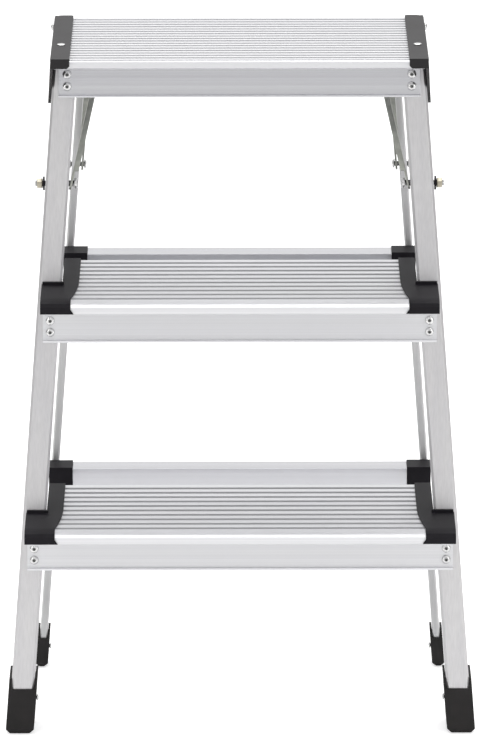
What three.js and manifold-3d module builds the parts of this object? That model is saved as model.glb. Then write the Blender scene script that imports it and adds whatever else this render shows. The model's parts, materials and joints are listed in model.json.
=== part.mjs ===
// A two-step folding step ladder with a platform, in millimetres, +Z up, front towards -Y.
// The front frame carries the treads; the narrow rear frame swings on hinge pins under the platform.

import * as THREE from 'three';
import { mergeVertices } from 'three/addons/utils/BufferGeometryUtils.js';
import Module from 'manifold-3d';

const wasm = await Module();
wasm.setup();

// ---- driving dimensions ----
const GAP = 0.3; // clearance between neighbouring pieces
const ORIGIN_SHIFT = 48.52; // moves the drawing's Y zero to the middle of the footprint

const TOP = 690; // top face of the hinge brackets
const SPLAY = 0.074; // sideways spread of every stile per mm of height
const LEAN = 0.14; // forward lean of the front stiles per mm of height
const REAR_LEAN = 0; // backward lean of the rear stiles per mm of height: they stand plumb

const STILE = { width: 23.3, depth: 45, wall: 1.8, outerAtTop: 184.6, frontAtTop: -56, corner: 2.5 };
const REAR_STILE = { width: 8, depth: 20, wall: 1.4, corner: 1.5 };
const STILE_GAP = 1; // sideways step from the front stile's inner face to the rear stile

const PLATFORM = { front: -97, rear: 92, half: 184.2, plate: 2.4, ribs: 18, ribDepth: 1.2, nose: 7 };
const BRACKET = { thick: 2.5, inner: 169, outer: 188, lip: 10, tabOuter: 165.7 };
const TREAD = { ahead: 52, behind: 97, nose: 14, drop: 4, face: 9, plate: 2.2, ribs: 10, ribDepth: 1.8 };
const TREAD_TOPS = { middle: 454, lower: 224 };
const APRON = { drop: 56, thick: 2, lip: 3 };
const CAP = { skin: 1.8, innerRear: 161.5, innerFront: 168.5, outer: 198.8, side: 3, depth: 24, faceEnd: 2 };
const TOP_RAIL = { bottom: 643, half: 181 };

const HINGE = { y: 66.5, z: 665, radius: 3 };
const FRONT_PIVOT = { y: -50, z: 550, x: 168.2 }; // x is the inner side of the link there
const KNEE = { y: 15, z: 640, x: 146.2 };
const REAR_PIVOT = { y: 66.5, z: 540, x: 159.4 };
const LINK = { half: 6.5, thick: 2, flange: 5.5, flangeStart: 11, flangeEnd: 18 };

const REAR_RAIL = { depth: 25.5, height: 34, wall: 1.8 };
const REAR_RAIL_TOPS = { middle: 454, lower: 224.5 };
const FOOT = { wall: 2.6, front: 46, side: 56, base: 8.5, chamfer: 5 };
const REAR_FOOT = { wall: 2.4, front: 32, side: 43, base: 6, chamfer: 4 };

// ---- where the stiles run ----
const outerX = (z) => STILE.outerAtTop + (TOP - z) * SPLAY;
const innerX = (z) => outerX(z) - STILE.width;
const frontY = (z) => STILE.frontAtTop - (TOP - z) * LEAN;
const rearOuterX = (z) => innerX(z) - STILE_GAP;
const rearInnerX = (z) => rearOuterX(z) - REAR_STILE.width;
const rearMidY = (z) => HINGE.y + (HINGE.z - z) * REAR_LEAN;
const rearFrontY = (z) => rearMidY(z) - REAR_STILE.depth / 2;

// ---- materials ----
const finish = (color, roughness, metalness) => new THREE.MeshStandardMaterial({ color, roughness, metalness });
const aluminium = finish(0xc9cbd0, 0.38, 0.9);
const blackPlastic = finish(0x2c2a2c, 0.55, 0);
const blackSteel = finish(0x4a484a, 0.5, 0.2);
const rubber = finish(0x262626, 0.8, 0);
const zinc = finish(0x9a9c92, 0.4, 0.9);
const brightSteel = finish(0xd8d8d6, 0.25, 0.95);

// ---- solids and geometry ----
function toSolid(geometry) {
  const plain = new THREE.BufferGeometry();
  plain.setAttribute('position', geometry.getAttribute('position').clone());
  if (geometry.index) plain.setIndex(geometry.index.clone());
  const merged = mergeVertices(plain, 1e-4);
  const index = merged.index.array;
  const triangles = [];
  for (let i = 0; i < index.length; i += 3) {
    const [a, b, c] = [index[i], index[i + 1], index[i + 2]];
    if (a !== b && b !== c && c !== a) triangles.push(a, b, c);
  }
  return new wasm.Manifold(new wasm.Mesh({
    numProp: 3,
    vertProperties: new Float32Array(merged.getAttribute('position').array),
    triVerts: new Uint32Array(triangles),
  }));
}

function toGeometry(solid) {
  const mesh = solid.getMesh();
  const geometry = new THREE.BufferGeometry();
  geometry.setAttribute('position', new THREE.BufferAttribute(mesh.vertProperties, 3));
  geometry.setIndex(new THREE.BufferAttribute(mesh.triVerts, 1));
  return geometry;
}

function cut(solid, ...tools) {
  return tools.reduce((left, tool) => left.subtract(tool), solid);
}

function join(...solids) {
  return solids.reduce((all, next) => all.add(next));
}

function mirrored(geometry) {
  const copy = geometry.clone().scale(-1, 1, 1);
  const index = copy.index.array;
  for (let i = 0; i < index.length; i += 3) [index[i], index[i + 1]] = [index[i + 1], index[i]];
  return copy;
}

// ---- outlines and prisms ----
const outline = (points) => new THREE.Shape(points.map(([a, b]) => new THREE.Vector2(a, b)));

function prism(points, length, hole) {
  const shape = outline(points);
  if (hole) shape.holes.push(new THREE.Path(hole.map(([a, b]) => new THREE.Vector2(a, b))));
  return new THREE.ExtrudeGeometry(shape, { depth: length, bevelEnabled: false, steps: 1 });
}

// Outline in (y, z), drawn out along X.
function alongX(points, x0, x1, hole) {
  const turn = new THREE.Matrix4().set(0, 0, 1, x0, 1, 0, 0, 0, 0, 1, 0, 0, 0, 0, 0, 1);
  return toSolid(prism(points, x1 - x0, hole).applyMatrix4(turn));
}

// Outline in (x, z), drawn out along Y.
function alongY(points, y0, y1) {
  const turn = new THREE.Matrix4().set(1, 0, 0, 0, 0, 0, -1, y1, 0, 1, 0, 0, 0, 0, 0, 1);
  return toSolid(prism(points, y1 - y0).applyMatrix4(turn));
}

// Outline in (x, y), drawn out along Z and leaned by dx and dy per mm of height above z = 0.
function leaning(points, z0, z1, dx, dy, hole) {
  const lean = new THREE.Matrix4().set(1, 0, dx, 0, 0, 1, dy, 0, 0, 0, 1, 0, 0, 0, 0, 1);
  return toSolid(prism(points, z1 - z0, hole).translate(0, 0, z0).applyMatrix4(lean));
}

function box(x0, x1, y0, y1, z0, z1) {
  const geometry = new THREE.BoxGeometry(x1 - x0, y1 - y0, z1 - z0);
  return toSolid(geometry.translate((x0 + x1) / 2, (y0 + y1) / 2, (z0 + z1) / 2));
}

function chamferedRectangle(x0, x1, y0, y1, corner) {
  return [
    [x0 + corner, y0], [x1 - corner, y0], [x1, y0 + corner], [x1, y1 - corner],
    [x1 - corner, y1], [x0 + corner, y1], [x0, y1 - corner], [x0, y0 + corner],
  ];
}

function arc(cx, cy, radius, from, to, steps) {
  const points = [];
  for (let i = 0; i <= steps; i += 1) {
    const angle = THREE.MathUtils.degToRad(from + ((to - from) * i) / steps);
    points.push([cx + radius * Math.cos(angle), cy + radius * Math.sin(angle)]);
  }
  return points;
}

// A turned piece: profile of [radius, distance along the axis], with its axis along +X.
function turnedX(profile, x, y, z, sides = 10) {
  const points = profile.map(([radius, along]) => new THREE.Vector2(radius, along));
  return toSolid(new THREE.LatheGeometry(points, sides).rotateZ(-Math.PI / 2).translate(x, y, z));
}

const rodX = (radius, x0, x1, y, z, sides = 10) =>
  turnedX([[0, 0], [radius, 0], [radius, x1 - x0], [0, x1 - x0]], x0, y, z, sides);

// ---- the model ----
const ladder = new THREE.Group();
ladder.position.y = ORIGIN_SHIFT;

function place(name, geometry, material) {
  const mesh = new THREE.Mesh(geometry, material);
  mesh.name = name;
  ladder.add(mesh);
}

function placeOne(name, solid, material) {
  place(name, toGeometry(solid), material);
}

// The piece is drawn on the right, at positive X, and mirrored for the left.
function placePair(name, solid, material) {
  const geometry = toGeometry(solid);
  place(`${name}_right`, geometry, material);
  place(`${name}_left`, mirrored(geometry), material);
}

// ---- rivets in the front faces of the stiles ----
const RIVETS = [
  { name: 'platform', x: 172.2, z: [665, 653] },
  { name: 'middle', x: 190.5, z: [419, 407.5] },
  { name: 'lower', x: 208, z: [189, 177.5] },
];
const RIVET = { head: 4.5, shank: 2.2, hole: 2.5, rise: 2.6, dimple: 1.3, sink: 1.3, length: 7 };
const leanAngle = Math.atan(LEAN);

function squareToStile(geometry, x, z) {
  return geometry.rotateX(Math.PI - leanAngle).translate(x, frontY(z), z);
}

function rivetHole(x, z) {
  return toSolid(squareToStile(new THREE.CylinderGeometry(RIVET.hole, RIVET.hole, 16, 8), x, z));
}

function rivet(x, z) {
  const seat = APRON.thick + 2 * GAP;
  const top = seat + RIVET.rise;
  const profile = [
    [0, seat - RIVET.length], [RIVET.shank, seat - RIVET.length], [RIVET.shank, seat],
    [RIVET.head, seat], [RIVET.head * 0.93, seat + 1], [RIVET.head * 0.66, seat + 2.1],
    [RIVET.dimple + 0.5, top], [RIVET.dimple, top], [RIVET.dimple, top - RIVET.sink],
    [0, top - RIVET.sink],
  ].map(([radius, along]) => new THREE.Vector2(radius, along));
  return toSolid(squareToStile(new THREE.LatheGeometry(profile, 8), x, z));
}

const rivetHoles = RIVETS.flatMap((row) => row.z.map((z) => rivetHole(row.x, z)));
const mirroredHoles = RIVETS.flatMap((row) => row.z.map((z) => rivetHole(-row.x, z)));

for (const row of RIVETS) {
  placePair(`${row.name}_rivet_upper`, rivet(row.x, row.z[0]), brightSteel);
  placePair(`${row.name}_rivet_lower`, rivet(row.x, row.z[1]), brightSteel);
}

// ---- front stiles ----
const stayHole = rodX(3.4, 100, 260, FRONT_PIVOT.y, FRONT_PIVOT.z, 10);
const PLATE_UNDER = TOP - BRACKET.thick - GAP - PLATFORM.ribDepth - PLATFORM.plate;
const FOOT_RIVET = { z: 30, rearZ: 20, hole: 2.1 };
const footRivetY = frontY(FOOT_RIVET.z) + STILE.depth / 2;
const footRivetHole = rodX(FOOT_RIVET.hole, innerX(0) - 8, innerX(0) + 8, footRivetY, FOOT_RIVET.z, 8);

function stileSection(wall) {
  const [y0, y1] = [frontY(0) + wall, frontY(0) + STILE.depth - wall];
  return chamferedRectangle(innerX(0) + wall, outerX(0) - wall, y0, y1, STILE.corner - wall / 2);
}

const stile = leaning(stileSection(0), FOOT.base + GAP, PLATE_UNDER - GAP, -SPLAY, LEAN,
  stileSection(STILE.wall));
placePair('front_stile', cut(stile, stayHole, footRivetHole, ...rivetHoles), aluminium);

// ---- ribbed tops ----
// Points along a ribbed top from the rear edge to the front, both included.
function ribbedTop(top, rear, front, count, depth) {
  const pitch = (rear - front) / count;
  const points = [[rear, top]];
  for (let i = 0; i < count; i += 1) {
    const rib = rear - i * pitch;
    if (i > 0) points.push([rib, top - depth], [rib, top]);
    points.push([rib - pitch * 0.56, top], [rib - pitch * 0.56, top - depth]);
  }
  points.push([front, top - depth], [front, top]);
  return points;
}

// ---- platform ----
const RIB_TOP = TOP - BRACKET.thick - GAP;
const SCREW = { y: 84, z: 679.6, port: 2.2, shank: 1.9, head: 3.8 };
const topRivet = { x: 178.5, y: -38 };

function platformProfile() {
  const { front, rear, nose } = PLATFORM;
  return [
    [rear, RIB_TOP - 20],
    ...ribbedTop(RIB_TOP, rear, front + 2, PLATFORM.ribs, PLATFORM.ribDepth),
    [front + 0.6, RIB_TOP - 0.5], [front, RIB_TOP - 1.5], [front, RIB_TOP - nose],
    [front + 1.5, RIB_TOP - nose - 1.5], [front + 5, RIB_TOP - nose - 1.5],
    [front + 5, RIB_TOP - nose + 0.5], [front + 2.4, RIB_TOP - nose + 0.5],
    [front + 2.4, PLATE_UNDER], [SCREW.y - 4.2, PLATE_UNDER], [SCREW.y - 4.2, SCREW.z - 4.2],
    [SCREW.y + 4.2, SCREW.z - 4.2], [SCREW.y + 4.2, PLATE_UNDER],
    [rear - 2.2, PLATE_UNDER], [rear - 2.2, RIB_TOP - 20],
  ];
}

function uprightRod(radius, x, y, z0, z1, sides = 10) {
  const rod = new THREE.CylinderGeometry(radius, radius, z1 - z0, sides);
  return toSolid(rod.rotateX(Math.PI / 2).translate(x, y, (z0 + z1) / 2));
}

const port = arc(SCREW.y, SCREW.z, SCREW.port, 0, 315, 7);
const platform = alongX(platformProfile(), -PLATFORM.half, PLATFORM.half, port);
const platformHoles = [1, -1].map((side) => uprightRod(2.5, side * topRivet.x, topRivet.y, 676, TOP + 5));
placeOne('platform_tread', cut(platform, ...platformHoles), aluminium);

// ---- plate on the front faces of the stiles, with a turned-out lip below ----
const apronBack = (z) => frontY(z) - GAP;
const apronFront = (z) => apronBack(z) - APRON.thick;

const topRailTop = PLATE_UNDER - GAP;
const topRail = alongX([
  [apronBack(topRailTop), topRailTop], [apronFront(topRailTop), topRailTop],
  [apronFront(TOP_RAIL.bottom + 2), TOP_RAIL.bottom + 2],
  [apronFront(TOP_RAIL.bottom) - APRON.lip, TOP_RAIL.bottom + 2],
  [apronFront(TOP_RAIL.bottom) - APRON.lip, TOP_RAIL.bottom],
  [apronBack(TOP_RAIL.bottom), TOP_RAIL.bottom],
], -TOP_RAIL.half, TOP_RAIL.half);
placeOne('platform_front_rail', cut(topRail, ...rivetHoles.slice(0, 2), ...mirroredHoles.slice(0, 2)),
  aluminium);

// ---- hinge brackets ----
function splayedAlongX(points, x0, x1) {
  const turn = new THREE.Matrix4().set(0, -SPLAY, 1, x0 + TOP * SPLAY, 1, 0, 0, 0, 0, 1, 0, 0, 0, 0, 0, 1);
  return toSolid(prism(points, x1 - x0).applyMatrix4(turn));
}

function hingeBracket() {
  const { thick, inner, outer, lip } = BRACKET;
  const [rear, front] = [PLATFORM.rear, PLATFORM.front - GAP - thick];
  const flange = leaning([
    [inner, front], [outer, front], [outer, rear - 9], ...arc(outer - 9, rear - 9, 9, 15, 75, 4),
    [outer - 9, rear], ...arc(inner + 3, rear - 3, 3, 90, 180, 3),
  ], TOP - thick, TOP, 0, 0);
  const frontLip = alongY([
    [inner + 2.5, TOP - lip], [outer - 0.3, TOP - lip], [outer - 0.3, TOP - 0.5], [inner, TOP - 0.5],
    [inner, TOP - lip + 2.5],
  ], front, front + thick);
  const side = splayedAlongX([
    [front, TOP - 0.4], [front, TOP - lip], [-60, 652], ...arc(-40, 638.5, 8, 225, 315, 4),
    [20, 650], [50, 655], [80, 657], ...arc(84, 665, 8, 290, 360, 3), [rear, TOP - 0.4],
  ], STILE.outerAtTop + GAP, STILE.outerAtTop + GAP + 2.8);
  const under = box(163.4, 187, 45, 77, PLATE_UNDER - GAP - thick, PLATE_UNDER - GAP);
  const tab = box(163.4, 165.9, 54, 77, 655, PLATE_UNDER - GAP - 1);
  return cut(
    join(flange, frontLip, side, under, tab),
    rodX(HINGE.radius + 0.4, 160, 170, HINGE.y, HINGE.z, 12),
    rodX(SCREW.shank + 0.4, 180, 196, SCREW.y, SCREW.z, 10),
    uprightRod(2.5, topRivet.x, topRivet.y, 676, TOP + 5),
  );
}
placePair('hinge_bracket', hingeBracket(), blackSteel);

const flatRivet = toSolid(new THREE.LatheGeometry(
  [[0, 676], [2.2, 676], [2.2, TOP + GAP], [4.1, TOP + GAP], [3.6, TOP + 1.2], [0, TOP + 1.2]]
    .map(([radius, along]) => new THREE.Vector2(radius, along)), 12,
).rotateX(Math.PI / 2).translate(topRivet.x, topRivet.y, 0));
placePair('bracket_rivet', flatRivet, brightSteel);

const screwSeat = STILE.outerAtTop + (TOP - SCREW.z + SCREW.head) * SPLAY + 2 * GAP + 2.8;
placePair('bracket_screw', turnedX([
  [0, -28], [SCREW.shank, -28], [SCREW.shank, 0], [SCREW.head, 0], [SCREW.head, 0.8],
  [SCREW.head * 0.6, 2.4], [0, 2.8],
], screwSeat, SCREW.y, SCREW.z, 10), brightSteel);

placePair('hinge_pin', turnedX([
  [0, 0], [4.4, 0], [5, 0.8], [5, 2.6], [HINGE.radius, 2.6], [HINGE.radius, 16], [5, 16], [5, 17.6],
  [4.4, 18.4], [0, 18.4],
], 150.6, HINGE.y, HINGE.z), brightSteel);

// ---- treads with their nose, rear skirt and front apron in one extrusion ----
const SKIRT = 22;
const NOSE_CLEAR = 0.3;

function treadProfile(top) {
  const rear = frontY(top) + TREAD.behind;
  const nose = frontY(top) - TREAD.ahead;
  const face = nose - TREAD.nose;
  const under = top - TREAD.ribDepth - TREAD.plate;
  const low = top - TREAD.drop - TREAD.face;
  const bottom = top - APRON.drop;
  return [
    [rear, top - SKIRT], ...ribbedTop(top, rear, nose, TREAD.ribs, TREAD.ribDepth),
    [nose - 7, top - 0.8], [nose - 11.5, top - 2.2], [face, top - 4.6], [face, low + 2],
    [face + 1.5, low], [apronFront(low), low],
    [apronFront(bottom + 2), bottom + 2], [apronFront(bottom) - APRON.lip, bottom + 2],
    [apronFront(bottom) - APRON.lip, bottom], [apronBack(bottom), bottom],
    [apronBack(under), under], [rear - 2.2, under], [rear - 2.2, top - SKIRT],
  ];
}

function noseCavity(top) {
  const face = frontY(top) - TREAD.ahead - TREAD.nose;
  const under = top - TREAD.ribDepth - TREAD.plate;
  const low = top - TREAD.drop - TREAD.face;
  return [
    [face + 2.6, under - 1.6], [face + 2.6, low + 2.4], [apronFront(low + 2.4), low + 2.4],
    [apronFront(under), under], [face + 5.5, under],
  ];
}

// Everything beside and behind the stile's front face, from x inwards of the stile by inset.
function stileNotch(inset, ahead, z0, z1) {
  const [x0, y0] = [innerX(0) - inset, frontY(0) - ahead];
  return leaning([[x0, y0], [x0 + 120, y0], [x0 + 120, y0 + 300], [x0, y0 + 300]], z0, z1, -SPLAY, LEAN);
}

function tread(name, top, half, holes) {
  const body = alongX(treadProfile(top), -half, half, noseCavity(top));
  const front = frontY(top);
  const notch = stileNotch(CAP.side + 0.6, 0.2, top - 80, top + 5);
  const corner = box(half - 2.4, half + 5, front - 100, front + 5, top - 15, top + 5);
  const tools = [notch, corner];
  const opposite = tools.map((tool) => toSolid(mirrored(toGeometry(tool))));
  placeOne(name, cut(body, ...tools, ...opposite, ...holes), aluminium);
}
const treadHalf = (top) => CAP.outer + (TREAD_TOPS.middle - top) * SPLAY - 0.9;
tread('middle_tread', TREAD_TOPS.middle, treadHalf(TREAD_TOPS.middle),
  [...rivetHoles.slice(2, 4), ...mirroredHoles.slice(2, 4)]);
tread('lower_tread', TREAD_TOPS.lower, treadHalf(TREAD_TOPS.lower),
  [...rivetHoles.slice(4, 6), ...mirroredHoles.slice(4, 6)]);

// ---- end caps of the treads: shells wrapped round the tread end and round the stile ----
function treadCap(top) {
  const shift = (TREAD_TOPS.middle - top) * SPLAY;
  const rear = frontY(top) + TREAD.behind;
  const nose = frontY(top) - TREAD.ahead;
  const face = nose - TREAD.nose;
  const low = top - TREAD.drop - TREAD.face;
  const outside = [
    [rear + 1.5, top - CAP.depth], [rear + 1.5, top + CAP.skin], [nose, top + CAP.skin],
    [nose - 8, top + 0.9], [nose - 13, top - 0.8], [face - 1.8, top - 4.2], [face - 1.8, low + CAP.faceEnd],
    [frontY(low) + 1, low + CAP.faceEnd], [frontY(low) + 1, top - CAP.depth],
  ];
  const inner = CAP.innerRear + shift;
  const outer = CAP.outer + shift;
  const sweep = TREAD.behind + TREAD.ahead - 80;
  const angle = 2 * Math.atan((CAP.innerFront - CAP.innerRear) / sweep);
  const radius = sweep / Math.sin(angle);
  const plan = leaning([
    [inner, rear + 5], ...arc(inner + radius, rear - 80, radius, 180, 180 + (angle * 180) / Math.PI, 6),
    [inner + CAP.innerFront - CAP.innerRear, face - 10], [outer, face - 10], [outer, rear + 5],
  ], top - 40, top + 10, 0, 0);
  const noseSlot = alongX([
    [frontY(top) + 3, top + NOSE_CLEAR], [nose, top + NOSE_CLEAR], [nose - 7.3, top - 0.5],
    [nose - 11.8, top - 1.9], [face - NOSE_CLEAR, top - 4.3], [face - NOSE_CLEAR, low + 1.8],
    [face + 1.2, low - NOSE_CLEAR], [apronFront(low) - 0.6, low - NOSE_CLEAR],
    [apronFront(top - 80) - 0.6, top - 80], [frontY(top - 80) + 3, top - 80],
  ], 100, outer - CAP.side);
  const rearSlot = cut(
    box(100, 300, frontY(top) - 5, rear + GAP, top - 80, top + NOSE_CLEAR),
    stileNotch(CAP.side + GAP, 500, top - 90, top + 5),
  );
  const collar = box(innerX(top) - 2.4, outer - 0.8, frontY(top) - 3.4, frontY(top) - 0.5, top + 0.8, top + 4.4);
  const shell = alongX(outside, 150, outer + 5).intersect(plan);
  return cut(join(shell, collar), noseSlot, rearSlot, stileNotch(0.4, 0.4, top - 80, top + 10));
}
placePair('middle_tread_cap', treadCap(TREAD_TOPS.middle), blackPlastic);
placePair('lower_tread_cap', treadCap(TREAD_TOPS.lower), blackPlastic);

// ---- feet: cups over the stile ends, with taller flaps at the sides ----
function foot(size, inner, outer, front, rear, hole) {
  const { wall, side, base, chamfer } = size;
  const ends = alongX([
    [front(0) + 1, 0], [rear(0) - 1, 0], [rear(chamfer) + wall, chamfer], [rear(size.front) + wall, size.front],
    [rear(size.front) + GAP, size.front], [rear(side) - 2, side], [front(side) + 2, side],
    [front(size.front) - GAP, size.front], [front(size.front) - wall, size.front],
    [front(chamfer) - wall, chamfer],
  ], inner(0) - 20, outer(0) + 20);
  const sides = alongY([
    [inner(0) + 1.5, 0], [outer(0) - 1.5, 0], [outer(chamfer) + wall, chamfer], [outer(side) + wall, side],
    [inner(side) - wall, side], [inner(chamfer) - wall, chamfer],
  ], front(0) - 20, rear(0) + 20);
  const dy = front(1) - front(0);
  const section = chamferedRectangle(inner(0) - GAP, outer(0) + GAP, front(0) - GAP, rear(0) + GAP, 1.2);
  return cut(ends.intersect(sides), leaning(section, base, side + 10, -SPLAY, dy), hole);
}
const rearY = (z) => frontY(z) + STILE.depth;
placePair('front_foot', foot(FOOT, innerX, outerX, frontY, rearY, footRivetHole), rubber);

function footRivet(x, y, z) {
  return turnedX([[0, 0], [2, -0.2], [3.2, 1], [3.2, 1.6], [1.8, 1.6], [1.8, 9], [0, 9]], x, y, z, 10);
}
placePair('front_foot_rivet', footRivet(innerX(FOOT_RIVET.z) - FOOT.wall - 2.2, footRivetY, FOOT_RIVET.z),
  brightSteel);

// ---- stays: bolt, washer and nut on the front stile ----
const stayBolt = join(
  turnedX([[0, 0], [4.2, 0], [5.2, 1], [5.2, 3.4], [0, 3.4]], 162.6, FRONT_PIVOT.y, FRONT_PIVOT.z),
  rodX(3, 164, 206, FRONT_PIVOT.y, FRONT_PIVOT.z),
);
placePair('stay_bolt', stayBolt, brightSteel);

function ring(outerRadius, hole, x0, x1, sides) {
  const { y, z } = FRONT_PIVOT;
  return cut(rodX(outerRadius, x0, x1, y, z, sides), rodX(hole, x0 - 1, x1 + 1, y, z, 12));
}
placePair('stay_washer', ring(7, 3.4, 195.9, 197.6, 16), blackPlastic);
placePair('stay_nut', ring(5.2, 3.35, 198, 203.6, 6), zinc);

// ---- stay links ----
function stadium(from, to, radius) {
  const heading = (Math.atan2(to[1] - from[1], to[0] - from[0]) * 180) / Math.PI;
  return [...arc(...to, radius, heading - 90, heading + 90, 6),
    ...arc(...from, radius, heading + 90, heading + 270, 6)];
}

// A pressed channel link from one pivot to the other, leaning sideways between them.
function stayLink(from, to, flangeSide, holes) {
  const [dy, dz] = [to.y - from.y, to.z - from.z];
  const length = Math.hypot(dy, dz);
  const [ny, nz] = [-dz / length, dy / length];
  const sign = ny < 0 ? 1 : -1; // the flange follows the edge that faces the front
  const at = (along, off) => [from.y + (dy * along) / length + ny * off * sign,
    from.z + (dz * along) / length + nz * off * sign];
  const plate = alongX(stadium([from.y, from.z], [to.y, to.z], LINK.half), 0, LINK.thick);
  const [start, end, inside] = [LINK.flangeStart, length - LINK.flangeEnd, LINK.half - 1.8];
  const edge = [at(start, LINK.half), at(end, LINK.half), at(end, inside), at(start, inside)];
  const x0 = flangeSide > 0 ? 0 : LINK.thick - LINK.flange;
  const flange = alongX(sign > 0 ? edge : edge.reverse(), x0, x0 + LINK.flange);
  const bent = toGeometry(join(plate, flange));
  const slope = (to.x - from.x) / dz;
  bent.applyMatrix4(new THREE.Matrix4().set(1, 0, slope, from.x - slope * from.z,
    0, 1, 0, 0, 0, 0, 1, 0, 0, 0, 0, 1));
  return cut(toSolid(bent), ...holes);
}
const kneeOuter = { ...KNEE, x: KNEE.x + LINK.thick + 2.3 };
const rearPinHole = rodX(2.9, 120, 200, REAR_PIVOT.y, REAR_PIVOT.z, 10);
placePair('front_stay_link', stayLink(FRONT_PIVOT, KNEE, -1,
  [stayHole, rodX(2.8, 120, 170, KNEE.y, KNEE.z, 10)]), zinc);
placePair('rear_stay_link', stayLink(kneeOuter, REAR_PIVOT, 1,
  [rearPinHole, rodX(4, 120, 170, KNEE.y, KNEE.z, 12)]), zinc);

placePair('knee_rivet', turnedX([
  [0, 0], [3.4, 0], [4.4, 1], [4.4, 2.4], [2.5, 2.4], [2.5, 11.6], [5.2, 11.6], [5.2, 13], [0, 13.6],
], KNEE.x - 4.2, KNEE.y, KNEE.z), brightSteel);
placePair('rear_stay_pin', turnedX([
  [0, 0], [3.6, 0], [4.6, 1], [4.6, 2.2], [2.5, 2.2], [2.5, 15.9], [4, 15.9], [4, 17], [0, 17.4],
], REAR_PIVOT.x - 3, REAR_PIVOT.y, REAR_PIVOT.z), brightSteel);

// ---- rear stiles ----
const rearFootY = rearMidY(FOOT_RIVET.rearZ);
const rearFootHole = rodX(FOOT_RIVET.hole, rearInnerX(0) - 8, rearInnerX(0) + 4, rearFootY, FOOT_RIVET.rearZ, 8);

function rearSection(wall) {
  const half = REAR_STILE.depth / 2 - wall;
  const [y0, y1] = [rearMidY(0) - half, rearMidY(0) + half];
  return chamferedRectangle(rearInnerX(0) + wall, rearOuterX(0) - wall, y0, y1, REAR_STILE.corner - wall / 2);
}
const rearHalf = REAR_STILE.depth / 2;
const roundTop = alongX([
  [-60, 0], [200, 0], [200, 600], [HINGE.y + rearHalf, HINGE.z],
  ...arc(HINGE.y, HINGE.z, rearHalf, 20, 160, 7), [HINGE.y - rearHalf, HINGE.z], [-60, 600],
], 100, 300);
const rearStile = leaning(rearSection(0), REAR_FOOT.base + GAP, HINGE.z + rearHalf, -SPLAY, -REAR_LEAN,
  rearSection(REAR_STILE.wall)).intersect(roundTop);
const hingeHole = rodX(HINGE.radius + 0.5, 130, 200, HINGE.y, HINGE.z, 12);
placePair('rear_stile', cut(rearStile, hingeHole, rearPinHole, rearFootHole), aluminium);

// ---- rear rails and their end caps ----
function rearRail(level, top) {
  const shift = (REAR_RAIL_TOPS.middle - top) * SPLAY;
  const back = rearFrontY(top) - 0.4;
  const front = back - REAR_RAIL.depth;
  const low = top - REAR_RAIL.height;
  const end = 176.6 + shift;
  const frame = (inset) => [[front + inset, low + inset], [back - inset, low + inset],
    [back - inset, top - inset], [front + inset, top - inset]];
  placeOne(`${level}_rear_rail`, alongX(frame(0), -end, end, frame(REAR_RAIL.wall)), aluminium);
  const cover = box(155.4 + shift, 180 + shift, front - 1.8, back, low - 1.8, top + 1.8);
  const slot = box(100, end + GAP, front - GAP, back + 5, low - GAP, top + GAP);
  placePair(`${level}_rear_rail_cap`, cut(cover, slot), blackPlastic);
}
rearRail('middle', REAR_RAIL_TOPS.middle);
rearRail('lower', REAR_RAIL_TOPS.lower);

// ---- rear feet ----
const rearRearY = (z) => rearMidY(z) + rearHalf;
placePair('rear_foot', foot(REAR_FOOT, rearInnerX, rearOuterX, rearFrontY, rearRearY, rearFootHole), rubber);
placePair('rear_foot_rivet', footRivet(rearInnerX(FOOT_RIVET.rearZ) - REAR_FOOT.wall - 2.2, rearFootY,
  FOOT_RIVET.rearZ), brightSteel);

export default ladder;
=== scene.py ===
# %% [markdown]
# # A folding step ladder, finished in Blender
# The ladder's sizes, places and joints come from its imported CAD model, which is loaded first and never
# moved. Blender's work is the surface: soft edges on pressed and extruded metal, moulded caps, riveted
# heads, and a finish for every material. Everything is in metres, +Z up, with the front towards -Y.

# %% Load the fixed frame
import json
import math
import bpy
from mathutils import Matrix, Vector


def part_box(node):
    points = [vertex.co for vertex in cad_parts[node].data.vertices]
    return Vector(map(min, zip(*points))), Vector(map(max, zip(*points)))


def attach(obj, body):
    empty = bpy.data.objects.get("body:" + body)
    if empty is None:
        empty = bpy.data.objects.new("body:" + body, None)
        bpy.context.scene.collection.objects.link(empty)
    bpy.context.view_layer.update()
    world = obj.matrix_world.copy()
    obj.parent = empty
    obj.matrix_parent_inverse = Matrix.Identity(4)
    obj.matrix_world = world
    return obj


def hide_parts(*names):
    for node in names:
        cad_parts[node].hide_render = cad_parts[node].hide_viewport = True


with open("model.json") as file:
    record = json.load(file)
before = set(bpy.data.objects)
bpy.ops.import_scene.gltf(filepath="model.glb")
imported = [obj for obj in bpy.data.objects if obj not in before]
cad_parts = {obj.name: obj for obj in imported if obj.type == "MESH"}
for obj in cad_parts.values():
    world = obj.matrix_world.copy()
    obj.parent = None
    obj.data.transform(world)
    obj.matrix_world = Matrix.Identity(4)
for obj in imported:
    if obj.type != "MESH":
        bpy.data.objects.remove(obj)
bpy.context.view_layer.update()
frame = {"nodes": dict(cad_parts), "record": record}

MM = 0.001
record = frame["record"]
body_of = {node: body for body, nodes in record["behaviour"]["bodies"].items() for node in nodes}
slot_of = {part["node"]: part["material_slot"] for part in record["subparts"]}
SIDES = {"left": -1, "right": 1}

# %% [markdown]
# ## Working by hand, in code
# Every operator acts on what is selected, and loading leaves all the CAD pieces selected. A short set of
# helpers keeps the selection honest: one clears it and picks a single object, and one picks faces by a
# test on their centre and normal, as a person would click them.

# %% Selection helpers
def pick(piece):
    if bpy.context.object and bpy.context.object.mode != "OBJECT":
        bpy.ops.object.mode_set(mode="OBJECT")
    bpy.ops.object.select_all(action="DESELECT")
    piece.select_set(True)
    bpy.context.view_layer.objects.active = piece
    return piece


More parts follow.
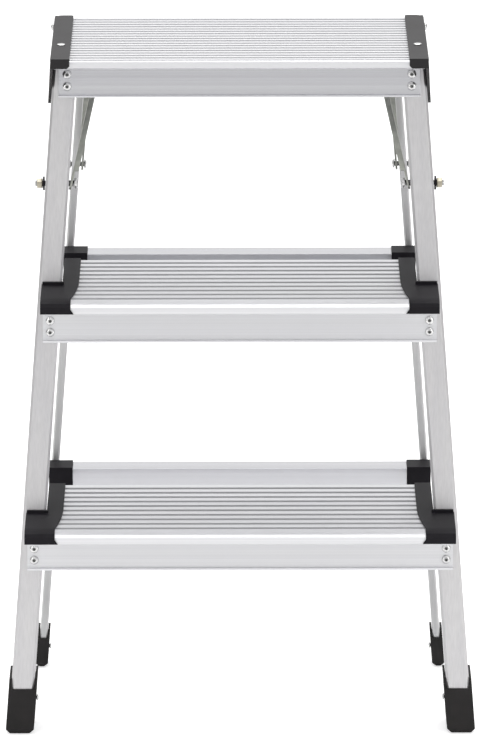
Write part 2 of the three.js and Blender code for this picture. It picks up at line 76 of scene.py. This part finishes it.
def pick_faces(piece, wanted):
    bpy.ops.object.mode_set(mode="EDIT")
    bpy.ops.mesh.select_mode(type="FACE")
    bpy.ops.mesh.select_all(action="DESELECT")
    bpy.ops.object.mode_set(mode="OBJECT")
    for face in piece.data.polygons:
        face.select = bool(wanted(face.center, face.normal))
    bpy.ops.object.mode_set(mode="EDIT")


def leave_edit():
    bpy.ops.object.mode_set(mode="OBJECT")


def apply_place(piece):
    pick(piece)
    bpy.ops.object.transform_apply(location=True, rotation=True, scale=True)


def outwards_at(node):
    return Vector((1 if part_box(node)[0][0] > 0 else -1, 0, 0))


pick(next(iter(frame["nodes"].values())))
bpy.ops.object.select_all(action="DESELECT")
print("helpers ready, nothing selected")

# %% [markdown]
# ## A bevel is what makes metal look real
# No extruded, folded or moulded edge is truly sharp: it has a small radius that catches a line of light.
# The CAD solid has the right shape with sharp edges, so a copy is merged, its flat facets are joined,
# and a Bevel modifier rounds the edges. Modelling each long section again would only repeat the CAD, so
# the copy is the better way wherever the shape is already right, and new modelling is kept for the rest.
# Rounded edges bend the shading of the wide faces beside them, so a Weighted Normal modifier gives those
# faces the last word: a flat plate then reflects as a flat plate, right up to its radius.

# %% Soft-edged copy of a CAD piece
SMOOTH_ANGLE = math.radians(35)
EDGE_ANGLE = math.radians(25)
FACET_ANGLE = math.radians(1.0)
MERGE_DISTANCE = 0.02 * MM


def keep_faces_flat(piece):
    pick(piece)
    weighted = piece.modifiers.new("flat faces", "WEIGHTED_NORMAL")
    weighted.weight = 100
    weighted.keep_sharp = True
    bpy.ops.object.modifier_apply(modifier=weighted.name)


def soften(node, name, width, segments, join_facets):
    source = frame["nodes"][node]
    pick(source)
    bpy.ops.object.duplicate()
    piece = bpy.context.object
    piece.name = name
    piece.data.name = name
    piece.parent = None
    piece.matrix_world = Matrix.Identity(4)
    pick(piece)
    bpy.ops.object.mode_set(mode="EDIT")
    bpy.ops.mesh.select_all(action="SELECT")
    bpy.ops.mesh.remove_doubles(threshold=MERGE_DISTANCE)
    if join_facets:
        bpy.ops.mesh.dissolve_limited(angle_limit=FACET_ANGLE)
    leave_edit()
    bevel = piece.modifiers.new("edge radius", "BEVEL")
    bevel.width = width
    bevel.segments = segments
    bevel.limit_method = "ANGLE"
    bevel.angle_limit = EDGE_ANGLE
    bevel.use_clamp_overlap = True
    bpy.ops.object.modifier_apply(modifier=bevel.name)
    bpy.ops.object.shade_smooth_by_angle(angle=SMOOTH_ANGLE)
    keep_faces_flat(piece)
    return piece


def stand_for(piece, node, material):
    piece.data.materials.clear()
    piece.data.materials.append(material)
    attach(piece, body_of[node])
    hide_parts(node)


# %% [markdown]
# ## Anodised aluminium
# The treads, stiles and rails are drawn through a die and anodised, which leaves fine lines that run the
# whole length of each bar and a satin sheen. A noise texture stretched hard along the bar gives the lines:
# it is more than a thousand times finer across the bar than along it. A second, broad noise makes the slow
# change of tone that a long drawn bar has. The lines also drive a very light bump and the roughness.
# The grooves between a tread's ribs are shallow, and their colour is darkened by height inside them: this
# is painted shade, standing in for the shadow in the grooves. The painted shade starts behind the tread's
# nose.

# %% Aluminium drawn along one direction
def shader_of(name):
    material = bpy.data.materials.new(name)
    material.use_nodes = True
    nodes = material.node_tree.nodes
    return material, nodes, material.node_tree.links, nodes["Principled BSDF"]


def noise_at(nodes, links, scale, detail=3.0, turn=(0, 0, 0), stretch=(1, 1, 1)):
    coords = nodes.new("ShaderNodeTexCoord")
    mapping = nodes.new("ShaderNodeMapping")
    mapping.inputs["Rotation"].default_value = turn
    mapping.inputs["Scale"].default_value = stretch
    noise = nodes.new("ShaderNodeTexNoise")
    noise.inputs["Scale"].default_value = scale
    noise.inputs["Detail"].default_value = detail
    links.new(coords.outputs["Object"], mapping.inputs["Vector"])
    links.new(mapping.outputs["Vector"], noise.inputs["Vector"])
    return noise.outputs["Fac"]


def ramp(nodes, links, factor, dark, light, low=0.3, high=0.7):
    tones = nodes.new("ShaderNodeValToRGB")
    tones.color_ramp.elements[0].position = low
    tones.color_ramp.elements[1].position = high
    tones.color_ramp.elements[0].color = (*dark, 1)
    tones.color_ramp.elements[1].color = (*light, 1)
    links.new(factor, tones.inputs["Fac"])
    return tones.outputs["Color"]


def spread(nodes, links, factor, low, high):
    rescale = nodes.new("ShaderNodeMapRange")
    rescale.inputs["To Min"].default_value = low
    rescale.inputs["To Max"].default_value = high
    links.new(factor, rescale.inputs["Value"])
    return rescale.outputs["Result"]


def blend_colours(nodes, links, one, other, amount):
    mix = nodes.new("ShaderNodeMix")
    mix.data_type = "RGBA"
    mix.blend_type = "MULTIPLY"
    mix.inputs["Factor"].default_value = amount
    links.new(one, mix.inputs["A"])
    links.new(other, mix.inputs["B"])
    return mix.outputs["Result"]


def relief(nodes, links, shader, height, distance, strength):
    bump = nodes.new("ShaderNodeBump")
    bump.inputs["Distance"].default_value = distance
    bump.inputs["Strength"].default_value = strength
    links.new(height, bump.inputs["Height"])
    links.new(bump.outputs["Normal"], shader.inputs["Normal"])


# Painted shade: the tone that the grooves between a tread's ribs are darkened to, for their shadow.
GROOVE_SHADE_TONE = 0.76
BELOW_GROOVE = 2 * MM
SHADE_STARTS, SHADE_FULL = 1.6 * MM, 1.9 * MM
SHADE_FADES, SHADE_ENDS = 0.7 * MM, 0.3 * MM
WHITE = (1, 1, 1, 1)


# Painted shade: darkens a tread's colour by height inside the grooves between its ribs, behind the nose.
def groove_shade(nodes, links, top, depth, front):
    coords = nodes.new("ShaderNodeTexCoord")
    place = nodes.new("ShaderNodeSeparateXYZ")
    links.new(coords.outputs["Object"], place.inputs["Vector"])
    span = depth + BELOW_GROOVE
    height = nodes.new("ShaderNodeMapRange")
    height.inputs["From Min"].default_value = top - depth - BELOW_GROOVE
    height.inputs["From Max"].default_value = top
    links.new(place.outputs["Z"], height.inputs["Value"])
    tones = nodes.new("ShaderNodeValToRGB")
    stops = tones.color_ramp.elements
    stops[0].position, stops[0].color = 0.0, WHITE
    stops[1].position, stops[1].color = 1.0, WHITE
    shading = (
        (SHADE_STARTS, 1.0), (SHADE_FULL, GROOVE_SHADE_TONE),
        (span - SHADE_FADES, GROOVE_SHADE_TONE), (span - SHADE_ENDS, 1.0),
    )
    for at, tone in shading:
        stops.new(at / span).color = (tone, tone, tone, 1)
    links.new(height.outputs["Result"], tones.inputs["Fac"])
    behind = nodes.new("ShaderNodeMath")
    behind.operation = "GREATER_THAN"
    behind.inputs[1].default_value = front
    links.new(place.outputs["Y"], behind.inputs[0])
    mask = nodes.new("ShaderNodeMix")
    mask.data_type = "RGBA"
    mask.inputs["A"].default_value = WHITE
    links.new(behind.outputs["Value"], mask.inputs["Factor"])
    links.new(tones.outputs["Color"], mask.inputs["B"])
    return mask.outputs["Result"]


def stretched(across, fine, coarse):
    return tuple(fine * a + coarse * (1 - a) for a in across)


def drawn_aluminium(name, tone, turn, across, rough, groove_painted_shade=None):
    material, nodes, links, shader = shader_of(name)
    lines = noise_at(nodes, links, 1.0, 1.5, turn, stretched(across, 700, 0.5))
    slow = noise_at(nodes, links, 1.0, 1.0, turn, stretched(across, 90, 0.3))
    fine = ramp(nodes, links, lines, [0.93 * t for t in tone], tone)
    broad = ramp(nodes, links, slow, (0.95, 0.95, 0.96), (1, 1, 1))
    colour = blend_colours(nodes, links, fine, broad, 1.0)
    # Painted shade from the tread grooves is multiplied into the colour here.
    if groove_painted_shade:
        colour = blend_colours(nodes, links, colour, groove_shade(nodes, links, *groove_painted_shade), 1.0)
    links.new(colour, shader.inputs["Base Color"])
    links.new(spread(nodes, links, lines, rough - 0.04, rough + 0.05), shader.inputs["Roughness"])
    relief(nodes, links, shader, lines, 0.01 * MM, 0.12)
    shader.inputs["Metallic"].default_value = 0.85
    return material


LEAN_SLOPE, SPLAY_SLOPE = 0.14, 0.074
LEAN, SPLAY = math.atan(LEAN_SLOPE), math.atan(SPLAY_SLOPE)
UNTURNED = (0, 0, 0)
DRAWN_ALONG_X, DRAWN_ALONG_Z = (0, 1, 1), (1, 1, 0)
TREAD_TONE, RAIL_TONE = (0.85, 0.85, 0.865), (0.76, 0.76, 0.785)
STILE_TONE, REAR_STILE_TONE = (0.74, 0.73, 0.735), (0.66, 0.66, 0.66)
GROOVE_DEPTH = {"platform_tread": 1.2 * MM, "middle_tread": 1.8 * MM, "lower_tread": 1.8 * MM}
NOSE_DEPTH = {"platform_tread": 4 * MM, "middle_tread": 15 * MM, "lower_tread": 15 * MM}
tread_metal = {}
for node, depth in GROOVE_DEPTH.items():
    low_corner, high_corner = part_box(node)
    # Where the painted groove shade lies: the tread's top, the groove depth, and the back of the nose.
    groove_painted_shade = (high_corner[2], depth, low_corner[1] + NOSE_DEPTH[node])
    tread_metal[node] = drawn_aluminium(
        f"{node}_aluminium", TREAD_TONE, UNTURNED, DRAWN_ALONG_X, 0.40, groove_painted_shade)
rail_metal = drawn_aluminium("rail_aluminium", RAIL_TONE, UNTURNED, DRAWN_ALONG_X, 0.24)
stile_metal, rear_metal = {}, {}
for side, sign in SIDES.items():
    stile_metal[side] = drawn_aluminium(
        f"stile_aluminium_{side}", STILE_TONE, (-LEAN, sign * SPLAY, 0), DRAWN_ALONG_Z, 0.34)
for side, sign in SIDES.items():
    rear_metal[side] = drawn_aluminium(
        f"rear_stile_aluminium_{side}", REAR_STILE_TONE, (0, sign * SPLAY, 0), DRAWN_ALONG_Z, 0.38)
print("aluminium finishes:", 1 + len(tread_metal) + len(stile_metal) + len(rear_metal))

# %% [markdown]
# ## Black plastic, powder coat and rubber
# The tread caps are injection moulded, with a fine spark-eroded grain. The brackets are pressed steel
# with a matt powder coat, whose skin has the small dimples of an orange. The feet are a soft rubber,
# duller than both. One function makes all three: a fine noise for the grain, a broad one for the slightly
# worn, dusty tone that black parts pick up, and a bump. What tells the three apart is the size of the
# grain, how deep it is, and how dull the surface is.

# %% Grained black finishes
def grained(name, dark, light, grain, depth, rough, specular):
    material, nodes, links, shader = shader_of(name)
    skin = noise_at(nodes, links, grain, 2.0)
    dust = noise_at(nodes, links, 38.0, 5.0)
    links.new(ramp(nodes, links, dust, dark, light), shader.inputs["Base Color"])
    links.new(spread(nodes, links, dust, rough - 0.05, rough + 0.07), shader.inputs["Roughness"])
    relief(nodes, links, shader, skin, depth, 0.5)
    shader.inputs["Specular IOR Level"].default_value = specular
    return material


cap_plastic = grained(
    "black_plastic", (0.008, 0.007, 0.009), (0.014, 0.013, 0.016),
    grain=1500, depth=0.03 * MM, rough=0.46, specular=0.12)
bracket_coat = grained(
    "black_steel", (0.012, 0.011, 0.012), (0.018, 0.016, 0.017),
    grain=900, depth=0.05 * MM, rough=0.42, specular=0.30)
foot_rubber = grained(
    "foot_rubber", (0.012, 0.011, 0.011), (0.020, 0.018, 0.018),
    grain=1100, depth=0.04 * MM, rough=0.60, specular=0.25)
print("black finishes:", cap_plastic.name, bracket_coat.name, foot_rubber.name)

# %% [markdown]
# ## Zinc plate and bright steel
# Plated steel isn't one colour: the zinc dries in soft clouds, greenish where the passivation is thicker.
# A broad cloud noise blends two close tones, and a fine one breaks up the gloss. The rivets are plain
# bright steel, so they only need a little roughness change to stop them looking like mirrors. The tone is
# darkened where the metal is hollow, by ambient occlusion: this is painted shade for the shadow in hollows.

# %% Plated finishes
# Painted shade: how far ambient occlusion looks, and how hard it darkens hollows.
HOLLOW_SHADE_REACH = 2.5 * MM
HOLLOW_SHADE_GAMMA = 1.8


def plated(name, dark, light, rough):
    material, nodes, links, shader = shader_of(name)
    cloud = noise_at(nodes, links, 90.0, 5.0)
    speck = noise_at(nodes, links, 1800.0, 2.0)
    # Painted shade: ambient occlusion darkens the colour in hollows, such as a rivet's dimple, where shadow
    # falls.
    hollow_shade = nodes.new("ShaderNodeAmbientOcclusion")
    hollow_shade.inputs["Distance"].default_value = HOLLOW_SHADE_REACH
    links.new(ramp(nodes, links, cloud, dark, light), hollow_shade.inputs["Color"])
    deepen_hollow_shade = nodes.new("ShaderNodeGamma")
    deepen_hollow_shade.inputs["Gamma"].default_value = HOLLOW_SHADE_GAMMA
    links.new(hollow_shade.outputs["Color"], deepen_hollow_shade.inputs["Color"])
    links.new(deepen_hollow_shade.outputs["Color"], shader.inputs["Base Color"])
    links.new(spread(nodes, links, speck, rough - 0.05, rough + 0.08), shader.inputs["Roughness"])
    relief(nodes, links, shader, speck, 0.01 * MM, 0.3)
    shader.inputs["Metallic"].default_value = 0.9
    return material


stay_zinc = plated("zinc_steel", (0.56, 0.57, 0.54), (0.70, 0.71, 0.67), 0.34)
nut_zinc = plated("nut_steel", (0.60, 0.57, 0.50), (0.73, 0.70, 0.62), 0.30)
bright_steel = plated("bright_steel", (0.82, 0.82, 0.82), (0.92, 0.92, 0.915), 0.20)
FINISH = {
    "rail_aluminium": rail_metal, "black_plastic": cap_plastic,
    "black_steel": bracket_coat, "foot_rubber": foot_rubber, "zinc_steel": stay_zinc,
    "nut_steel": nut_zinc, "bright_steel": bright_steel,
}
print("finishes ready:", len(FINISH))

# %% [markdown]
# ## Camera, floor and light
# The ladder is seen from the front and a little above, from far away through a long lens, so its uprights
# stay nearly parallel. The light is a plain studio: a big soft panel overhead, one at each side of the
# camera, and a pale floor that bounces light back up. Soft panels matter for metal, because what a bar
# shows is mostly the reflection of the light itself. For the same reason the world isn't one flat white:
# it is brighter behind and above than in front, and darker to the sides, so round edges have something
# to show. The floor's own glow is seen only by the camera, and lights nothing.

# %% Camera
PITCH, ROLL, YAW = (math.radians(a) for a in (16.344, -0.07, 0.106))
AIM = Vector((0.0013, 0.0485, 0.3341))
DISTANCE = 6.6026
LENS, SENSOR = 309.97, 36
FAR_CLIP = 60


def aimed_camera():
    data = bpy.data.cameras.new("camera")
    data.lens = LENS
    data.sensor_width = SENSOR
    data.clip_end = FAR_CLIP
    camera = bpy.data.objects.new("camera", data)
    bpy.context.collection.objects.link(camera)
    level = math.cos(PITCH)
    ahead = Vector((math.sin(YAW) * level, math.cos(YAW) * level, -math.sin(PITCH)))
    side = Vector((math.cos(YAW), -math.sin(YAW), 0))
    up = side.cross(ahead)
    turned_side = side * math.cos(ROLL) + up * math.sin(ROLL)
    turned_up = up * math.cos(ROLL) - side * math.sin(ROLL)
    turn = Matrix((turned_side, turned_up, -ahead)).transposed()
    camera.matrix_world = Matrix.Translation(AIM - ahead * DISTANCE) @ turn.to_4x4()
    bpy.context.scene.camera = camera
    return camera


camera = aimed_camera()
print("camera at", [round(v, 3) for v in camera.location])


# %% Floor and panels
FLOOR_GLOW = 0.5
MIDDLE = (0, 0, 0.35)


def soft_panel(name, place, size, power):
    bpy.ops.object.light_add(type="AREA", location=place)
    light = bpy.context.object
    light.name = name
    light.data.shape = "RECTANGLE"
    light.data.size, light.data.size_y = size
    light.data.energy = power
    light.rotation_euler = (Vector(MIDDLE) - Vector(place)).to_track_quat("-Z", "Y").to_euler()


bpy.ops.mesh.primitive_plane_add(size=14, location=(0, 2, -0.0005))
floor = bpy.context.object
floor.name = "floor"
floor_paint, floor_nodes, floor_links, floor_shader = shader_of("floor_paint")
floor_shader.inputs["Base Color"].default_value = (0.93, 0.93, 0.93, 1)
floor_shader.inputs["Roughness"].default_value = 0.7
floor_shader.inputs["Emission Color"].default_value = WHITE
view_ray = floor_nodes.new("ShaderNodeLightPath")
glow = floor_nodes.new("ShaderNodeMath")
glow.operation = "MULTIPLY"
glow.inputs[1].default_value = FLOOR_GLOW
floor_links.new(view_ray.outputs["Is Camera Ray"], glow.inputs[0])
floor_links.new(glow.outputs["Value"], floor_shader.inputs["Emission Strength"])
floor.data.materials.append(floor_paint)

soft_panel("panel_overhead", (0.0, 0.5, 2.6), (2.4, 2.4), 32)
soft_panel("panel_left", (-2.2, -2.0, 1.6), (1.4, 2.2), 14)
soft_panel("panel_right", (2.4, -1.6, 1.3), (1.2, 2.2), 18)
print("floor and panels placed")

# %% World graded by direction
FRONT_TO_BACK = {"From Min": -0.4, "From Max": 0.6, "To Min": 0.70, "To Max": 0.86}
EXTRA_ABOVE = {"From Min": 0.2, "From Max": 0.9, "To Min": 0.0, "To Max": 0.2}
DARKER_SIDEWAYS = {"From Min": 0.55, "From Max": 0.95, "To Min": 1.0, "To Max": 0.35}
world = bpy.data.worlds.new("studio")
bpy.context.scene.world = world
world.use_nodes = True
sky_nodes, sky_links = world.node_tree.nodes, world.node_tree.links


def graded(source, limits):
    grade = sky_nodes.new("ShaderNodeMapRange")
    for socket, value in limits.items():
        grade.inputs[socket].default_value = value
    sky_links.new(source, grade.inputs["Value"])
    return grade.outputs["Result"]


def sky_math(operation, *sources):
    step = sky_nodes.new("ShaderNodeMath")
    step.operation = operation
    for socket, source in zip(step.inputs, sources):
        sky_links.new(source, socket)
    return step.outputs["Value"]


sky_coords = sky_nodes.new("ShaderNodeTexCoord")
heading = sky_nodes.new("ShaderNodeSeparateXYZ")
sky_links.new(sky_coords.outputs["Generated"], heading.inputs["Vector"])
brightness = sky_math(
    "ADD", graded(heading.outputs["Y"], FRONT_TO_BACK), graded(heading.outputs["Z"], EXTRA_ABOVE))
sideways = sky_math("ABSOLUTE", heading.outputs["X"])
strength = sky_math("MULTIPLY", brightness, graded(sideways, DARKER_SIDEWAYS))
sky_links.new(strength, sky_nodes["Background"].inputs["Strength"])
sky_nodes["Background"].inputs["Color"].default_value = WHITE
bpy.context.scene.view_settings.view_transform = "Standard"
print("world graded by", len(world.node_tree.nodes), "nodes")

# %% [markdown]
# ## Rivets, pins and bolts, turned by extruding
# Every round fastener is a stack of rings. A cylinder gives the first ring, and then its end face is pushed
# out and scaled, again and again, as a lathe would follow a profile. The list of radius and height is the
# whole shape: a wide step makes a flange, shrinking steps make a dome, and going back down makes the hollow
# that a blind rivet keeps where its mandrel snapped off. The CAD piece says where its axis starts.

# %% Turn a fastener and set it on its axis
TURNED_SIDES = 28
TURNED_EDGE_ANGLE = math.radians(30)


def axis_start(node, axis):
    source = frame["nodes"][node]
    points = [source.matrix_world @ vertex.co for vertex in source.data.vertices]
    side = axis.orthogonal().normalized()
    other = axis.cross(side)

    def centre_along(way):
        reach = [point.dot(way) for point in points]
        return way * ((min(reach) + max(reach)) / 2)

    return centre_along(side) + centre_along(other) + axis * min(point.dot(axis) for point in points)


def set_on_axis(piece, start, axis):
    piece.rotation_euler = axis.to_track_quat("Z", "Y").to_euler()
    piece.location = start
    apply_place(piece)


def round_edges(piece, width, segments=2):
    pick(piece)
    bevel = piece.modifiers.new("edge radius", "BEVEL")
    bevel.width = width
    bevel.segments = segments
    bevel.limit_method = "ANGLE"
    bevel.angle_limit = TURNED_EDGE_ANGLE
    bpy.ops.object.modifier_apply(modifier=bevel.name)
    bpy.ops.object.shade_smooth_by_angle(angle=SMOOTH_ANGLE)


def turn_profile(name, profile, edge):
    (first, start), (second, height) = profile[:2]
    bpy.ops.mesh.primitive_cylinder_add(
        vertices=TURNED_SIDES, radius=first * MM, depth=(height - start) * MM,
        location=(0, 0, (start + height) / 2 * MM))
    piece = bpy.context.object
    piece.name = name
    apply_place(piece)
    pick_faces(piece, lambda centre, normal: normal.z > 0.9)
    ratio = second / first
    bpy.ops.transform.resize(value=(ratio, ratio, 1), center_override=(0, 0, height * MM))
    radius = second
    for new_radius, new_height in profile[2:]:
        rise = (new_height - height) * MM
        bpy.ops.mesh.extrude_region_move(TRANSFORM_OT_translate={"value": (0, 0, rise)})
        ratio = new_radius / radius
        bpy.ops.transform.resize(value=(ratio, ratio, 1), center_override=(0, 0, new_height * MM))
        radius, height = new_radius, new_height
    leave_edit()
    round_edges(piece, edge * MM)
    return piece


BLIND_RIVET = [
    (2.2, 0), (2.2, 7), (4.5, 7), (4.5, 7.5), (4.15, 8.2), (3.5, 8.9), (2.7, 9.4), (1.9, 9.6),
    (1.6, 9.5), (1.5, 6.6),
]
FLAT_RIVET = [(2.2, 0), (2.2, 14.3), (4.1, 14.3), (4.05, 14.6), (3.5, 15.0), (2.4, 15.2)]
SCREW = [
    (1.9, 0), (1.9, 28), (3.8, 28), (3.8, 28.7), (3.4, 29.6), (2.5, 30.4), (1.5, 30.8),
    (1.0, 30.7), (0.9, 29.6),
]
HINGE_PIN = [(4.4, 0), (5, 0.8), (5, 2.6), (3, 2.6), (3, 16), (5, 16), (5, 17.6), (4.4, 18.4)]
FOOT_RIVET = [(2.0, 0), (2.8, 0.5), (3.2, 1.2), (3.2, 1.8), (1.8, 1.8), (1.8, 9.2)]
KNEE_RIVET = [
    (3.4, 0), (4.4, 1), (4.4, 2.4), (2.5, 2.4), (2.5, 11.6), (5.2, 11.6), (5.2, 12.6), (4.3, 13.6),
]
STAY_PIN = [
    (3.6, 0), (4.6, 1), (4.6, 2.2), (2.5, 2.2), (2.5, 15.9), (4, 15.9), (4, 17), (3.3, 17.4),
]
THREAD_START, THREAD_TURNS = 32, 11
CREST, ROOT = (3.0, 0.25), (2.65, 0.75)
THREAD = [
    (radius, THREAD_START + turn + step) for turn in range(THREAD_TURNS) for radius, step in (CREST, ROOT)
]
STAY_BOLT = [(4.2, 0), (5.2, 1), (5.2, 3.4), (3, 3.4), *THREAD, (2.7, 43.4)]
square_to_stile = Vector((0, -1, LEAN_SLOPE)).normalized()
print("profiles:", len(BLIND_RIVET), len(STAY_BOLT), "rings")

# %% Turn every fastener
SIDE_PROFILES = {
    "bracket_screw": SCREW, "hinge_pin": HINGE_PIN, "front_foot_rivet": FOOT_RIVET,
    "rear_foot_rivet": FOOT_RIVET, "stay_bolt": STAY_BOLT, "knee_rivet": KNEE_RIVET,
    "rear_stay_pin": STAY_PIN,
}
HEAD_EDGE, THREAD_EDGE = 0.12, 0.08
made = set()


def turn_for(node, profile, axis, edge=HEAD_EDGE):
    piece = turn_profile(f"{node}_turned", profile, edge)
    set_on_axis(piece, axis_start(node, axis), axis)
    stand_for(piece, node, FINISH[slot_of[node]])
    made.add(node)


for node in body_of:
    stem = node.rsplit("_", 1)[0]
    if "_rivet_upper" in node or "_rivet_lower" in node:
        turn_for(node, BLIND_RIVET, square_to_stile)
    elif stem == "bracket_rivet":
        turn_for(node, FLAT_RIVET, Vector((0, 0, 1)))
    elif stem in SIDE_PROFILES:
        edge = THREAD_EDGE if stem == "stay_bolt" else HEAD_EDGE
        turn_for(node, SIDE_PROFILES[stem], outwards_at(node), edge)
print("turned fasteners:", len(made))

# %% [markdown]
# ## Nut and washer
# A nut is a six-sided bar with a hole, and a washer is a thin slice of tube. Both start as a cylinder, one
# with six sides, and a second cylinder is taken away from them with a Boolean modifier. The nut's edges
# get a larger radius than the washer's, because its blank is chamfered before it is threaded.

# %% Cut the nut and the washer
DRILL_SIDES = 32


def with_hole(name, sides, radius, thick, hole):
    bpy.ops.mesh.primitive_cylinder_add(
        vertices=sides, radius=radius * MM, depth=thick * MM, location=(0, 0, thick / 2 * MM))
    piece = bpy.context.object
    piece.name = name
    apply_place(piece)
    bpy.ops.mesh.primitive_cylinder_add(
        vertices=DRILL_SIDES, radius=hole * MM, depth=4 * thick * MM)
    drill = bpy.context.object
    pick(piece)
    cut = piece.modifiers.new("hole", "BOOLEAN")
    cut.operation = "DIFFERENCE"
    cut.solver = "EXACT"
    cut.object = drill
    bpy.ops.object.modifier_apply(modifier=cut.name)
    bpy.data.objects.remove(drill)
    return piece


RINGS = {"stay_washer": (40, 7.0, 1.7, 3.4, 0.25), "stay_nut": (6, 5.2, 5.6, 3.3, 0.45)}
for node in body_of:
    stem = node.rsplit("_", 1)[0]
    if stem in RINGS:
        sides, radius, thick, hole, edge = RINGS[stem]
        outwards = outwards_at(node)
        ring = with_hole(f"{node}_cut", sides, radius, thick, hole)
        round_edges(ring, edge * MM, 3)
        set_on_axis(ring, axis_start(node, outwards), outwards)
        stand_for(ring, node, FINISH[slot_of[node]])
        made.add(node)
print("nuts and washers added, pieces so far:", len(made))

# %% [markdown]
# ## Bars, plates and caps
# These keep their CAD shape and gain their edge radii. The radius is what the process leaves: under half a
# millimetre on a ribbed tread, about half on a rail, nearly one on a stile, and most on soft rubber. The
# tread caps have a small one, and keep their own facets, because joining those leaves dark triangles in
# the shading. Each tread cap also has a small flare where its nose ends: a cube whose top is squeezed to
# one side is enough for that wedge.

# %% Flare at the foot of a tread cap
CAP_WIDTH = 30.3 * MM
FLARE_WIDTH, FLARE_DEPTH, FLARE_HEIGHT = 3.6 * MM, 1.5 * MM, 4.6 * MM
FLARE_DROP = 15.4 * MM
FLARE_OVERLAP, FLARE_POINT = 0.6 * MM, 0.5 * MM
FLARE_EDGE = 0.2 * MM


def with_flare(piece, node):
    low_corner, high_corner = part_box(node)
    side = outwards_at(node).x
    inner_edge = max(abs(low_corner[0]), abs(high_corner[0])) - CAP_WIDTH
    middle_x = side * (inner_edge - FLARE_WIDTH / 2 + FLARE_OVERLAP)
    middle_y = low_corner[1] + FLARE_DEPTH / 2
    foot = high_corner[2] - FLARE_DROP
    bpy.ops.mesh.primitive_cube_add(size=1, location=(middle_x, middle_y, foot + FLARE_HEIGHT / 2))
    flare = bpy.context.object
    flare.scale = (FLARE_WIDTH, FLARE_DEPTH, FLARE_HEIGHT)
    apply_place(flare)
    pick_faces(flare, lambda centre, normal: normal.z > 0.9)
    point = (side * (inner_edge + FLARE_POINT), middle_y, foot + FLARE_HEIGHT)
    bpy.ops.transform.resize(value=(0.1, 1, 1), center_override=point)
    leave_edit()
    round_edges(flare, FLARE_EDGE)
    flare.select_set(True)
    piece.select_set(True)
    bpy.context.view_layer.objects.active = piece
    bpy.ops.object.join()
    return piece


print("flare drops", round(FLARE_DROP / MM, 1), "mm below the cap's top")

# %% Give each CAD piece its edge radius
RADII = {
    "tread_aluminium": (0.3 * MM, 2), "rail_aluminium": (0.5 * MM, 2), "stile_aluminium": (0.9 * MM, 3),
    "black_plastic": (0.3 * MM, 2), "black_steel": (0.6 * MM, 3), "foot_rubber": (1.0 * MM, 3),
    "zinc_steel": (0.4 * MM, 2),
}
FINER_RADII = {"platform_tread": (0.25 * MM, 2)}

for node in body_of:
    if node in made:
        continue
    width, segments = FINER_RADII.get(node, RADII[slot_of[node]])
    if slot_of[node] == "stile_aluminium":
        side = node.rsplit("_", 1)[1]
        material = (rear_metal if node.startswith("rear") else stile_metal)[side]
    elif node in tread_metal:
        material = tread_metal[node]
    else:
        material = FINISH[slot_of[node]]
    is_tread_cap = "tread_cap" in node
    piece = soften(node, f"{node}_finished", width, segments, join_facets=not is_tread_cap)
    if is_tread_cap:
        piece = with_flare(piece, node)
    stand_for(piece, node, material)
print("softened pieces:", len(body_of) - len(made))
